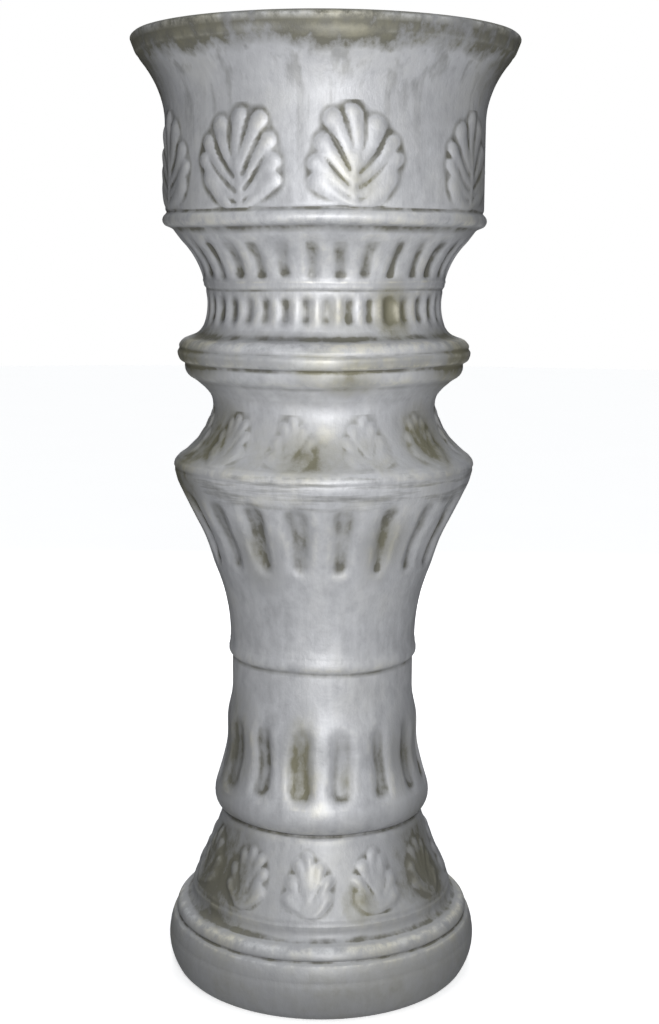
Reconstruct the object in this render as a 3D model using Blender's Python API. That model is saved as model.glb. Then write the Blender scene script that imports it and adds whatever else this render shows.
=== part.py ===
"""A tall turned and carved column of fired clay, open at the top like a vase.

The outside is a stack of mouldings, each a straight or bowed stretch of the
outline. Flutes, ribs and palmettes are cut into it or raised on it. The inside
is the same outline set back by the wall. Metres, +Z up, the origin at the
centre of the underside.
"""
import math
from typing import NamedTuple

import bmesh
import bpy
from mathutils import Vector
from mathutils.geometry import delaunay_2d_cdt

HEIGHT = 0.900

# Plinth and the steps above it, from the floor up
FOOT_RADIUS = 0.1425
PLINTH_HEIGHT = 0.055
PLINTH_TOP_RADIUS = 0.1475
PLINTH_BULGE = 0.0075
STEP_FOOT_RADIUS = 0.1450
STEP_HEIGHT = 0.010
STEP_TOP_RADIUS = 0.1388
STEP_BULGE = 0.0018
BASE_COVE_HEIGHT = 0.016
BASE_COVE_TOP_RADIUS = 0.1290
BASE_COVE_HOLLOW = 0.0045
BASE_FILLET_HEIGHT = 0.004

# Foot cone with its leaves
CONE_FOOT_RADIUS = 0.1275
CONE_TOP_RADIUS = 0.0988
CONE_HOLLOW = 0.0026
CONE_LEAF_HEIGHT = 0.049
CONE_LEAF_COUNT = 11
CONE_LEAF_GAP = 0.018
CONE_LEAF_RELIEF = 0.0040
CONE_LEAF_TURN = -6.0
CONE_MARGIN_BELOW = 0.007
CONE_MARGIN_ABOVE = 0.014

# Fluted swelling
SWELL_FOOT_RADIUS = 0.0990
SWELL_ROLL_HEIGHT = 0.0175
SWELL_RADIUS = 0.1072
SWELL_ROLL_BULGE = 0.0022
SWELL_FLARE_HEIGHT = 0.047
SWELL_TOP_RADIUS = 0.0943
SWELL_FLARE_HOLLOW = 0.0008
SWELL_DRUM_HEIGHT = 0.0265
SWELL_SHOULDER_HEIGHT = 0.0255
SWELL_MARGIN_BELOW = 0.008
SWELL_MARGIN_ABOVE = 0.013
SWELL_FLUTE_COUNT = 15
SWELL_FLUTE_RIB = 0.015
SWELL_FLUTE_DEPTH = 0.0042
SWELL_FLUTE_TURN = -12.5

# Shaft, whose plain length takes up what the mouldings leave of the height, and its bead
SHAFT_RADIUS = 0.0883
BEAD_HEIGHT = 0.014
BEAD_FOOT_RADIUS = 0.0902
BEAD_TOP_RADIUS = 0.0900
BEAD_BULGE = 0.0016

# Taper: a plain part, then a fluted part up to the shoulder
TAPER_PLAIN_HEIGHT = 0.077
TAPER_MIDDLE_RADIUS = 0.1055
TAPER_PLAIN_HOLLOW = 0.0042
TAPER_SPREAD_HEIGHT = 0.0315
TAPER_SPREAD_RADIUS = 0.1162
TAPER_SPREAD_HOLLOW = 0.0004
TAPER_FLUTED_HEIGHT = 0.0495
TAPER_TOP_RADIUS = 0.1405
TAPER_FLUTED_BULGE = 0.0006
TAPER_MARGIN_BELOW = 0.002
TAPER_MARGIN_ABOVE = 0.001
TAPER_FLUTE_COUNT = 19
TAPER_FLUTE_RIB = 0.0165
TAPER_FLUTE_DEPTH = 0.0048
TAPER_FLUTE_TURN = -10.5

# Shoulder nose and the scotia with its leaves
NOSE_UNDER_HEIGHT = 0.012
NOSE_RADIUS = 0.1438
NOSE_HEIGHT = 0.011
NOSE_TOP_RADIUS = 0.1400
NOSE_BULGE = 0.0016
SCOTIA_FLARE_HEIGHT = 0.036
SCOTIA_FLARE_RADIUS = 0.1085
SCOTIA_FLARE_HOLLOW = 0.0042
SCOTIA_THROAT_HEIGHT = 0.028
SCOTIA_THROAT_RADIUS = 0.1095
SCOTIA_THROAT_HOLLOW = 0.0030
SCOTIA_LEAF_HEIGHT = 0.046
SCOTIA_LEAF_COUNT = 11
SCOTIA_LEAF_GAP = 0.024
SCOTIA_LEAF_RELIEF = 0.0030
SCOTIA_LEAF_TURN = -14.0
SCOTIA_LEAF_LIFT = 0.001

# Double torus
TORUS_UNDER_HEIGHT = 0.011
LOWER_TORUS_FOOT_RADIUS = 0.1255
LOWER_TORUS_HEIGHT = 0.0125
LOWER_TORUS_TOP_RADIUS = 0.1325
LOWER_TORUS_BULGE = 0.0022
UPPER_TORUS_FOOT_RADIUS = 0.1368
UPPER_TORUS_HEIGHT = 0.020
UPPER_TORUS_TOP_RADIUS = 0.1335
UPPER_TORUS_BULGE = 0.0042
TORUS_LEDGE_RADIUS = 0.1290

# Cove and ribbed neck
COVE_HEIGHT = 0.0105
COVE_HOLLOW = 0.0024
NECK_FOOT_RADIUS = 0.1145
NECK_HEIGHT = 0.033
NECK_TOP_RADIUS = 0.1122
NECK_HOLLOW = 0.0022
NECK_MARGIN = 0.001
NECK_RIB_COUNT = 36
NECK_RIB_DEPTH = 0.0028
NECK_RIB_TURN = 1.5

# Fillet and fluted cavetto
FILLET_RADIUS = 0.1140
FILLET_HEIGHT = 0.007
CAVETTO_HEIGHT = 0.037
CAVETTO_TOP_RADIUS = 0.1345
CAVETTO_HOLLOW = 0.0030
CAVETTO_MARGIN = 0.001
CAVETTO_FLUTE_COUNT = 30
CAVETTO_FLUTE_RIB = 0.0115
CAVETTO_FLUTE_DEPTH = 0.0036
CAVETTO_FLUTE_TURN = 6.6
SOFFIT_HEIGHT = 0.012
SOFFIT_RADIUS = 0.1435

# Ring and drum with its palmettes
RING_FOOT_RADIUS = 0.1490
RING_HEIGHT = 0.012
RING_BULGE = 0.0032
DRUM_RADIUS = 0.1495
DRUM_LEAF_HEIGHT = 0.087
DRUM_LEAF_COUNT = 8
DRUM_LEAF_GAP = 0.033
DRUM_LEAF_RELIEF = 0.0055
DRUM_LEAF_TURN = 15.0
DRUM_LEAF_SWAY = 4.7
DRUM_LEAF_SWAY_TURN = 150.0
DRUM_MARGIN_BELOW = 0.002
DRUM_MARGIN_ABOVE = 0.002

# Bell and lip
BELL_HEIGHT = 0.051
BELL_RADIUS = 0.1745
BELL_HOLLOW = 0.0044
LIP_FOOT_RADIUS = 0.1752
LIP_HEIGHT = 0.0135
LIP_RADIUS = 0.1806
LIP_ROUNDING = 0.004

# Wall and floor of the hollow, and the grooves between mouldings
WALL = 0.012
FLOOR = 0.016
GROOVE_WIDTH = 0.004
GROOVE_DEPTH = 0.003

# Facets
PLAIN_SIDES = 32
INNER_SIDES = 20
ARC_STEPS = 3
SMOOTH_ANGLE = math.radians(25)
FINE_STEPS = 12
FINE_RISE = 0.001
SAME_PLACE = 1e-6
RING_CLEARANCE = 0.0005
GROUND_CLEARANCE = 0.08
FLUTE_RAMP = 0.5
FLUTE_FLAT = 0.5

PAINT_COLOUR = (0.47, 0.475, 0.49, 1.0)
PAINT_ROUGHNESS = 0.42
PAINT_METALLIC = 0.12


class Stretch(NamedTuple):
    """One stretch of the outline, going up: it rises, ends at a radius and bows out."""

    name: str
    rise: float
    radius: float
    bow: float = 0.0
    steps: int = 1
    station: bool = False


def groove(name, below, above):
    """A V groove between two mouldings that meet it at the radii below and above."""
    bottom = min(below, above) - GROOVE_DEPTH
    return [
        Stretch(name + "_in", GROOVE_WIDTH / 2, bottom),
        Stretch(name + "_out", GROOVE_WIDTH / 2, above),
    ]


def foot_mouldings():
    """The stretches from the floor to the shaft."""
    cone_height = CONE_MARGIN_BELOW + CONE_LEAF_HEIGHT + CONE_MARGIN_ABOVE
    return [
        Stretch("plinth", PLINTH_HEIGHT, PLINTH_TOP_RADIUS, PLINTH_BULGE, ARC_STEPS),
        *groove("plinth_groove", PLINTH_TOP_RADIUS, STEP_FOOT_RADIUS),
        Stretch("step", STEP_HEIGHT, STEP_TOP_RADIUS, STEP_BULGE),
        Stretch("base_cove", BASE_COVE_HEIGHT, BASE_COVE_TOP_RADIUS, -BASE_COVE_HOLLOW, 2),
        Stretch("base_fillet", BASE_FILLET_HEIGHT, CONE_FOOT_RADIUS, station=True),
        Stretch("cone", cone_height, CONE_TOP_RADIUS, -CONE_HOLLOW, station=True),
        *groove("cone_groove", CONE_TOP_RADIUS, SWELL_FOOT_RADIUS),
        Stretch("swell_roll", SWELL_ROLL_HEIGHT, SWELL_RADIUS, SWELL_ROLL_BULGE, 2, True),
        Stretch("swell_flare", SWELL_FLARE_HEIGHT, SWELL_TOP_RADIUS, -SWELL_FLARE_HOLLOW, station=True),
        Stretch("swell_drum", SWELL_DRUM_HEIGHT, SWELL_TOP_RADIUS),
        Stretch("swell_shoulder", SWELL_SHOULDER_HEIGHT, SHAFT_RADIUS, station=True),
    ]


def waist_mouldings():
    """The stretches from the shaft's bead to the shoulder's nose."""
    return [
        Stretch("bead_under", GROOVE_WIDTH / 2, BEAD_FOOT_RADIUS),
        Stretch("bead", BEAD_HEIGHT, BEAD_TOP_RADIUS, BEAD_BULGE, 2, True),
        Stretch("taper_plain", TAPER_PLAIN_HEIGHT, TAPER_MIDDLE_RADIUS, -TAPER_PLAIN_HOLLOW, 2, True),
        Stretch("taper_spread", TAPER_SPREAD_HEIGHT, TAPER_SPREAD_RADIUS, -TAPER_SPREAD_HOLLOW),
        Stretch("taper_fluted", TAPER_FLUTED_HEIGHT, TAPER_TOP_RADIUS, TAPER_FLUTED_BULGE),
        Stretch("nose_under", NOSE_UNDER_HEIGHT, NOSE_RADIUS, station=True),
        Stretch("nose", NOSE_HEIGHT, NOSE_TOP_RADIUS, NOSE_BULGE, 2),
    ]


def neck_mouldings():
    """The stretches from the scotia to the ribbed neck."""
    return [
        Stretch("scotia_flare", SCOTIA_FLARE_HEIGHT, SCOTIA_FLARE_RADIUS,
                -SCOTIA_FLARE_HOLLOW, ARC_STEPS, True),
        Stretch("scotia_throat", SCOTIA_THROAT_HEIGHT, SCOTIA_THROAT_RADIUS,
                -SCOTIA_THROAT_HOLLOW, ARC_STEPS, True),
        Stretch("torus_under", TORUS_UNDER_HEIGHT, LOWER_TORUS_FOOT_RADIUS),
        Stretch("lower_torus", LOWER_TORUS_HEIGHT, LOWER_TORUS_TOP_RADIUS, LOWER_TORUS_BULGE, 2),
        *groove("torus_groove", LOWER_TORUS_TOP_RADIUS, UPPER_TORUS_FOOT_RADIUS),
        Stretch("upper_torus", UPPER_TORUS_HEIGHT, UPPER_TORUS_TOP_RADIUS, UPPER_TORUS_BULGE, ARC_STEPS),
        Stretch("torus_ledge", GROOVE_WIDTH / 2, TORUS_LEDGE_RADIUS),
        Stretch("cove", COVE_HEIGHT, NECK_FOOT_RADIUS, -COVE_HOLLOW, 2, True),
        Stretch("neck", NECK_HEIGHT, NECK_TOP_RADIUS, -NECK_HOLLOW),
    ]


def head_mouldings():
    """The stretches from the neck's fillet to the lip."""
    drum_height = DRUM_MARGIN_BELOW + DRUM_LEAF_HEIGHT + DRUM_MARGIN_ABOVE
    return [
        Stretch("fillet_under", GROOVE_WIDTH / 2, FILLET_RADIUS),
        Stretch("fillet", FILLET_HEIGHT, FILLET_RADIUS, station=True),
        Stretch("cavetto", CAVETTO_HEIGHT, CAVETTO_TOP_RADIUS, -CAVETTO_HOLLOW),
        Stretch("soffit", SOFFIT_HEIGHT, SOFFIT_RADIUS, station=True),
        Stretch("ring_under", GROOVE_WIDTH / 4, RING_FOOT_RADIUS),
        Stretch("ring", RING_HEIGHT, DRUM_RADIUS, RING_BULGE, 2),
        Stretch("drum", drum_height, DRUM_RADIUS, station=True),
        Stretch("bell", BELL_HEIGHT, BELL_RADIUS, -BELL_HOLLOW, ARC_STEPS + 1, True),
        Stretch("lip_under", GROOVE_WIDTH / 4, LIP_FOOT_RADIUS),
        Stretch("lip", LIP_HEIGHT, LIP_RADIUS),
        Stretch("lip_rounding", LIP_ROUNDING, LIP_RADIUS - LIP_ROUNDING,
                LIP_ROUNDING * (1 - math.sqrt(0.5)), 2),
    ]


def outline():
    """Every stretch of the outside from the foot to the lip."""
    below = foot_mouldings()
    above = waist_mouldings() + neck_mouldings() + head_mouldings()
    left = HEIGHT - sum(stretch.rise for stretch in below + above)
    return below + [Stretch("shaft", left, SHAFT_RADIUS)] + above


def between(a, b, share):
    """The point a share of the way from a to b."""
    return (a[0] + (b[0] - a[0]) * share, a[1] + (b[1] - a[1]) * share)


def bowed(start, end, bow, steps):
    """Points after start on the arc to end, whose middle stands out of the chord by bow."""
    (r0, z0), (r1, z1) = start, end
    chord = math.hypot(r1 - r0, z1 - z0)
    if not bow:
        return [between(start, end, k / steps) for k in range(1, steps + 1)]
    radius = (chord * chord / 4 + bow * bow) / (2 * abs(bow))
    half = math.asin(chord / 2 / radius)
    along = ((r1 - r0) / chord, (z1 - z0) / chord)
    side = math.copysign(1.0, bow)
    across = (along[1] * side, -along[0] * side)
    points = []
    for k in range(1, steps + 1):
        turn = half * (2 * k / steps - 1)
        run = chord / 2 + radius * math.sin(turn)
        out = radius * (math.cos(turn) - math.cos(half))
        points.append((r0 + along[0] * run + across[0] * out, z0 + along[1] * run + across[1] * out))
    return points


def trace(steps_of):
    """The outline as points (radius, height), each stretch cut into steps_of(stretch) pieces."""
    points = [(FOOT_RADIUS, 0.0)]
    for stretch in outline():
        start = points[-1]
        end = (stretch.radius, start[1] + stretch.rise)
        points += bowed(start, end, stretch.bow, steps_of(stretch))
    return points


TURNED = trace(lambda stretch: FINE_STEPS if stretch.bow else 1)


def levels():
    """Height of the upper end of every stretch, by name."""
    heights = {}
    height = 0.0
    for stretch in outline():
        height += stretch.rise
        heights[stretch.name] = height
    return heights


LEVEL = levels()
TOP = LEVEL["lip_rounding"]


def radius_at(height):
    """Radius of the plain turned outside at a height."""
    for (r0, z0), (r1, z1) in zip(TURNED, TURNED[1:]):
        if z0 <= height <= z1:
            return r0 + (r1 - r0) * (height - z0) / (z1 - z0)
    return TURNED[-1][0] if height > TOP else FOOT_RADIUS


def inner_radius_at(height):
    """Radius of the hollow: the farthest a ball of the wall's thickness keeps it from the outside."""
    nearest = math.inf
    for radius, level in dense_outline():
        reach = WALL * WALL - (level - height) ** 2
        if reach >= 0:
            nearest = min(nearest, radius - math.sqrt(reach))
    return nearest


def dense_outline():
    """The turned outside in fine steps."""
    if not DENSE:
        count = round(TOP / FINE_RISE)
        DENSE.extend((radius_at(TOP * k / count), TOP * k / count) for k in range(count + 1))
    return DENSE


DENSE = []


# Rings of points and the strips between them. A ring is a list of (angle, vertex) in turn order.

def from_front(degrees):
    """A direction counted from the front, to the right, as an angle from +X."""
    return math.radians(degrees - 90)


def in_turn(ring):
    """The ring sorted from angle 0 to a full turn."""
    turned = [(angle % math.tau, vertex) for angle, vertex in ring]
    return sorted(turned, key=lambda item: item[0])


def plain_ring(bm, radius, height, sides):
    """An even ring of points."""
    ring = []
    for k in range(sides):
        angle = math.tau * k / sides
        ring.append((angle, bm.verts.new((radius * math.cos(angle), radius * math.sin(angle), height))))
    return ring


def stitch(bm, lower, upper):
    """Triangles between two rings, always taking the edge whose middle comes first in the turn."""
    i = j = 0
    n, m = len(lower), len(upper)

    def middle(ring, k):
        following = ring[(k + 1) % len(ring)][0] + (math.tau if k + 1 == len(ring) else 0.0)
        return (ring[k][0] + following) / 2

    while i < n or j < m:
        if j == m or (i < n and middle(lower, i) <= middle(upper, j)):
            bm.faces.new((lower[i][1], lower[(i + 1) % n][1], upper[j % m][1]))
            i += 1
        else:
            bm.faces.new((lower[i % n][1], upper[(j + 1) % m][1], upper[j][1]))
            j += 1


# Flutes and ribs

class Flutes(NamedTuple):
    """A row of flutes: where it starts and ends, how many, their depth and the columns of one."""

    start: float
    end: float
    count: int
    depth: float
    turn: float
    columns: tuple
    rows: int


def flute_columns(count, radius, rib):
    """Columns of one flat-bottomed flute between two ribs: share of the pitch and of the depth."""
    side = (1 - rib * count / (math.tau * radius)) / 2
    flat = side * FLUTE_FLAT
    return ((-side, 0.0), (-flat, 1.0), (flat, 1.0), (side, 0.0))


def groove_columns(count, radius, rib):
    """Columns of one narrow flute between two ribs."""
    side = (1 - rib * count / (math.tau * radius)) / 2
    return ((-side, 0.0), (0.0, 1.0), (side, 0.0))


RIB_COLUMNS = ((0.0, 1.0), (0.5, 0.0))


def flute_ring(bm, flutes, height, share):
    """One ring across the flutes, cut to a share of their depth."""
    ring = []
    radius = radius_at(height)
    pitch = math.tau / flutes.count
    for k in range(flutes.count):
        for place, cut in flutes.columns:
            angle = from_front(flutes.turn) + (k + place) * pitch
            r = radius - flutes.depth * cut * share
            ring.append((angle, bm.verts.new((r * math.cos(angle), r * math.sin(angle), height))))
    return in_turn(ring)


def flute_band(bm, flutes):
    """The fluted band, whose ends ramp over a share of the flute's half width."""
    pitch = math.tau * radius_at((flutes.start + flutes.end) / 2) / flutes.count
    side = max(place for place, _ in flutes.columns) * pitch
    ramp = min(side * FLUTE_RAMP, (flutes.end - flutes.start) / 4)
    heights = [flutes.start]
    inner = flutes.end - flutes.start - 2 * ramp
    heights += [flutes.start + ramp + inner * k / flutes.rows for k in range(flutes.rows + 1)]
    heights.append(flutes.end)
    rings = []
    for height in heights:
        share = 0.0 if height in (flutes.start, flutes.end) else 1.0
        rings.append(flute_ring(bm, flutes, height, share))
    for lower, upper in zip(rings, rings[1:]):
        stitch(bm, lower, upper)
    return rings[0], rings[-1]


# Palmettes

class Lobe(NamedTuple):
    """A finger of a palmette, in shares of the leaf's half width and height."""

    root: float
    out: float
    up: float
    size: float


LARGE_LEAF = (
    Lobe(0.045, 0.71, 0.195, 0.103),
    Lobe(0.12, 0.80, 0.356, 0.098),
    Lobe(0.26, 0.68, 0.575, 0.098),
    Lobe(0.38, 0.35, 0.800, 0.100),
    Lobe(0.42, 0.00, 0.885, 0.100),
)
SMALL_LEAF = (
    Lobe(0.045, 0.70, 0.31, 0.140),
    Lobe(0.22, 0.56, 0.63, 0.150),
    Lobe(0.38, 0.00, 0.86, 0.130),
)
LEAF_COLUMNS = 3
ROOT_SHARE = 0.035
LEAF_MIDDLE = 0.42
VALLEY_SHARE = 0.68


class Leaves(NamedTuple):
    """A row of palmettes: its band, their base, size, number, relief and pattern."""

    start: float
    end: float
    base: float
    height: float
    half_width: float
    count: int
    relief: float
    turn: float
    lobes: tuple
    rows: int
    sway: float = 0.0


def leaf_centre(leaves, k):
    """Direction of leaf k. Leaves set out by eye sway from even spacing twice round."""
    even = leaves.turn + k * 360 / leaves.count
    return from_front(even + leaves.sway * math.cos(math.radians(2 * even + DRUM_LEAF_SWAY_TURN)))


def leaf_direction(leaves, radius, k, along):
    """Direction of a point of leaf k; the ground beside the leaf takes up the uneven spacing."""
    centre = leaf_centre(leaves, k)
    side = math.copysign(1.0, along)
    beside = leaf_centre(leaves, k + int(side))
    half = math.pi * radius / leaves.count
    excess = abs(along) - leaves.half_width
    if excess <= 0:
        return centre + along / radius
    leaf_turn = leaves.half_width / radius
    ground_turn = abs(beside - centre) / 2 - leaf_turn
    return centre + side * (leaf_turn + ground_turn * excess / (half - leaves.half_width))


def leaf_half_width(radius, count, gap):
    """Half the width that leaves the gap between neighbours."""
    return (math.tau * radius / count - gap) / 2


def fingers(leaves):
    """Every finger of a leaf on both sides: root point, tip point and tip radius."""
    found = []
    for lobe in leaves.lobes:
        root = (0.0, lobe.root * leaves.height)
        for side in ((-1, 1) if lobe.out else (1,)):
            tip = (side * lobe.out * leaves.half_width, lobe.up * leaves.height)
            found.append((root, tip, lobe.size * leaves.height))
    return found


def finger_height(point, finger, root_size):
    """Height of one rounded finger over the ground at a point, from 0 to 1."""
    (x0, y0), (x1, y1), size = finger
    dx, dy = x1 - x0, y1 - y0
    share = ((point[0] - x0) * dx + (point[1] - y0) * dy) / (dx * dx + dy * dy)
    share = min(1.0, max(0.0, share))
    away = math.hypot(point[0] - x0 - share * dx, point[1] - y0 - share * dy)
    width = root_size + (size - root_size) * share
    return math.sqrt(max(0.0, 1 - (away / width) ** 2))


def leaf_height(leaves, found, point):
    """Height of the leaf over the ground at a point, from 0 to 1."""
    return max(finger_height(point, finger, ROOT_SHARE * leaves.height) for finger in found)


def leaf_edge(leaves, found):
    """The leaf's outline: its tips, its notches and the points half way between them."""
    centre = (0.0, LEAF_MIDDLE * leaves.height)
    directions = 180
    reach = [leaf_reach(leaves, found, centre, math.tau * k / directions) for k in range(directions)]
    turns = []
    for k, far in enumerate(reach):
        before, after = reach[k - 1], reach[(k + 1) % directions]
        if (far > before and far >= after) or (far < before and far <= after):
            turns.append(k)
    edge = []
    for k, following in zip(turns, turns[1:] + [turns[0] + directions]):
        for place in (k, (k + following) // 2):
            angle = math.tau * (place % directions) / directions
            edge.append(polar(centre, angle, reach[place % directions]))
    return edge


def leaf_reach(leaves, found, centre, angle):
    """How far the leaf reaches from its centre in a direction."""
    step = leaves.height / 60
    far = leaves.height
    while far > 0 and not leaf_height(leaves, found, polar(centre, angle, far)):
        far -= step
    near, far = far, far + step
    for _ in range(12):
        middle = (near + far) / 2
        if leaf_height(leaves, found, polar(centre, angle, middle)):
            near = middle
        else:
            far = middle
    return near


def polar(centre, angle, far):
    """The point at a distance and direction from the centre."""
    return (centre[0] + far * math.cos(angle), centre[1] + far * math.sin(angle))


def leaf_ridges(found):
    """Points and edges along every finger's back and the stem."""
    points, edges, roots = [], [], []
    for root, tip, _ in found:
        if root not in points:
            roots.append(len(points))
            points.append(root)
        edges.append((points.index(root), len(points)))
        points.append(tip)
    return points, edges + list(zip(roots, roots[1:]))


def leaf_valleys(found):
    """Points between neighbouring fingers, where the carving dips."""
    points = []
    sides = ([f for f in found if f[1][0] >= 0], [f for f in found if f[1][0] <= 0])
    for side in sides:
        for (root_a, tip_a, _), (root_b, tip_b, _) in zip(side, side[1:]):
            a = between(root_a, tip_a, VALLEY_SHARE)
            b = between(root_b, tip_b, VALLEY_SHARE)
            points.append(between(a, b, 0.5))
    return points


def leaf_patch(leaves, radius):
    """One leaf's sector flattened to (along the turn, up), as points and triangles.

    The sector is a rectangle with ground points on even rows, the leaf's edge,
    the backs of its fingers and the valleys between them.
    """
    half = math.pi * radius / leaves.count
    low, high = leaves.start - leaves.base, leaves.end - leaves.base
    found = fingers(leaves)
    edge = leaf_edge(leaves, found)
    ridges, ridge_edges = leaf_ridges(found)
    points = edge + ridges + leaf_valleys(found)
    edges = [(k, (k + 1) % len(edge)) for k in range(len(edge))]
    edges += [(a + len(edge), b + len(edge)) for a, b in ridge_edges]
    for row in range(leaves.rows + 1):
        up = low + (high - low) * row / leaves.rows
        for column in range(LEAF_COLUMNS + 1):
            place = (half * (2 * column / LEAF_COLUMNS - 1), up)
            on_rim = row in (0, leaves.rows) or column in (0, LEAF_COLUMNS)
            if on_rim or on_ground(leaves, found, points, place):
                points.append(place)
    verts, _, faces, _, _, _ = delaunay_2d_cdt([Vector(p) for p in points], edges, [], 0, SAME_PLACE)
    relief = [leaf_height(leaves, found, v) for v in verts]
    return verts, faces, relief, half


def on_ground(leaves, found, points, place):
    """Whether a place lies off the leaf and well away from every point so far."""
    nearest = min(math.dist(place, point) for point in points)
    return nearest > GROUND_CLEARANCE * leaves.height and leaf_height(leaves, found, place) == 0


def leaf_band(bm, leaves):
    """The band of leaves: one sector's triangles repeated round the column."""
    radius = radius_at((leaves.start + leaves.end) / 2)
    verts, faces, relief, half = leaf_patch(leaves, radius)
    made = {}

    def vertex(k, index):
        along, up = verts[index]
        if along > half - SAME_PLACE:
            k, along = (k + 1) % leaves.count, -half
        key = (k, round(along, 6), round(up, 6))
        if key not in made:
            angle = leaf_direction(leaves, radius, k, along)
            height = leaves.base + up
            r = radius_at(height) + leaves.relief * relief[index]
            made[key] = (angle, bm.verts.new((r * math.cos(angle), r * math.sin(angle), height)))
        return made[key][1]

    for k in range(leaves.count):
        for face in faces:
            bm.faces.new([vertex(k, index) for index in face])
    low, high = leaves.start - leaves.base, leaves.end - leaves.base
    bottom = [item for (_, _, up), item in made.items() if up - low < SAME_PLACE]
    top = [item for (_, _, up), item in made.items() if high - up < SAME_PLACE]
    return in_turn(bottom), in_turn(top)


def leaf_rows():
    """The three rows of palmettes."""
    cone_base = LEVEL["base_fillet"] + CONE_MARGIN_BELOW
    cone_radius = radius_at(cone_base + CONE_LEAF_HEIGHT / 2)
    scotia_base = LEVEL["nose"] + SCOTIA_LEAF_LIFT
    scotia_radius = radius_at(scotia_base + SCOTIA_LEAF_HEIGHT / 2)
    return [
        Leaves(
            start=LEVEL["base_fillet"] + CONE_MARGIN_BELOW / 2,
            end=LEVEL["cone"] - CONE_MARGIN_ABOVE / 2,
            base=cone_base,
            height=CONE_LEAF_HEIGHT,
            half_width=leaf_half_width(cone_radius, CONE_LEAF_COUNT, CONE_LEAF_GAP),
            count=CONE_LEAF_COUNT,
            relief=CONE_LEAF_RELIEF,
            turn=CONE_LEAF_TURN,
            lobes=SMALL_LEAF,
            rows=3,
        ),
        Leaves(
            start=LEVEL["nose"],
            end=LEVEL["nose"] + SCOTIA_LEAF_HEIGHT + 2 * SCOTIA_LEAF_LIFT,
            base=scotia_base,
            height=SCOTIA_LEAF_HEIGHT,
            half_width=leaf_half_width(scotia_radius, SCOTIA_LEAF_COUNT, SCOTIA_LEAF_GAP),
            count=SCOTIA_LEAF_COUNT,
            relief=SCOTIA_LEAF_RELIEF,
            turn=SCOTIA_LEAF_TURN,
            lobes=SMALL_LEAF,
            rows=4,
        ),
        Leaves(
            start=LEVEL["ring"] + DRUM_MARGIN_BELOW / 2,
            end=LEVEL["drum"] - DRUM_MARGIN_ABOVE / 2,
            base=LEVEL["ring"] + DRUM_MARGIN_BELOW,
            height=DRUM_LEAF_HEIGHT,
            half_width=leaf_half_width(DRUM_RADIUS, DRUM_LEAF_COUNT, DRUM_LEAF_GAP),
            count=DRUM_LEAF_COUNT,
            relief=DRUM_LEAF_RELIEF,
            turn=DRUM_LEAF_TURN,
            lobes=LARGE_LEAF,
            rows=2,
            sway=DRUM_LEAF_SWAY,
        ),
    ]


def flute_rows():
    """The four rows of flutes and ribs."""
    return [
        Flutes(
            start=LEVEL["swell_roll"] + SWELL_MARGIN_BELOW,
            end=LEVEL["swell_shoulder"] - SWELL_MARGIN_ABOVE,
            count=SWELL_FLUTE_COUNT,
            depth=SWELL_FLUTE_DEPTH,
            turn=SWELL_FLUTE_TURN,
            columns=flute_columns(SWELL_FLUTE_COUNT, SWELL_TOP_RADIUS, SWELL_FLUTE_RIB),
            rows=2,
        ),
        Flutes(
            start=LEVEL["taper_plain"] + TAPER_MARGIN_BELOW,
            end=LEVEL["taper_fluted"] - TAPER_MARGIN_ABOVE,
            count=TAPER_FLUTE_COUNT,
            depth=TAPER_FLUTE_DEPTH,
            turn=TAPER_FLUTE_TURN,
            columns=flute_columns(TAPER_FLUTE_COUNT, TAPER_MIDDLE_RADIUS, TAPER_FLUTE_RIB),
            rows=2,
        ),
        Flutes(
            start=LEVEL["cove"] + NECK_MARGIN,
            end=LEVEL["neck"] - NECK_MARGIN,
            count=NECK_RIB_COUNT,
            depth=NECK_RIB_DEPTH,
            turn=NECK_RIB_TURN,
            columns=RIB_COLUMNS,
            rows=1,
        ),
        Flutes(
            start=LEVEL["fillet"] + CAVETTO_MARGIN,
            end=LEVEL["cavetto"] - CAVETTO_MARGIN,
            count=CAVETTO_FLUTE_COUNT,
            depth=CAVETTO_FLUTE_DEPTH,
            turn=CAVETTO_FLUTE_TURN,
            columns=groove_columns(CAVETTO_FLUTE_COUNT, FILLET_RADIUS, CAVETTO_FLUTE_RIB),
            rows=1,
        ),
    ]


def carved_bands():
    """Every carved band with the function that makes it."""
    leaves = [(leaf_band, row) for row in leaf_rows()]
    flutes = [(flute_band, row) for row in flute_rows()]
    return leaves + flutes


def outside(bm):
    """The outside from the foot to the lip: plain rings between the carved bands."""
    bands = carved_bands()
    layers = []
    for radius, height in trace(lambda stretch: stretch.steps):
        if any(band.start - RING_CLEARANCE < height < band.end + RING_CLEARANCE for _, band in bands):
            continue
        ring = plain_ring(bm, radius, height, PLAIN_SIDES)
        layers.append((height, ring, ring))
    for make, band in bands:
        layers.append((band.start, *make(bm, band)))
    layers.sort(key=lambda layer: layer[0])
    for (_, _, lower), (_, upper, _) in zip(layers, layers[1:]):
        stitch(bm, lower, upper)
    return layers[0][1], layers[-1][2]


def inside(bm, lip):
    """The hollow, from the lip down to its floor."""
    mouth = radius_at(TOP) - (WALL - LIP_ROUNDING)
    stations = [LEVEL[s.name] for s in outline() if s.station and LEVEL[s.name] < LEVEL["bell"]]
    heights = [LEVEL["bell"]] + stations[::-1] + [LEVEL["plinth"], FLOOR]
    rings = [lip, plain_ring(bm, mouth, TOP, INNER_SIDES)]
    rings += [plain_ring(bm, inner_radius_at(z), z, INNER_SIDES) for z in heights]
    for outer, inner in zip(rings, rings[1:]):
        stitch(bm, outer, inner)
    return rings[-1]


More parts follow.
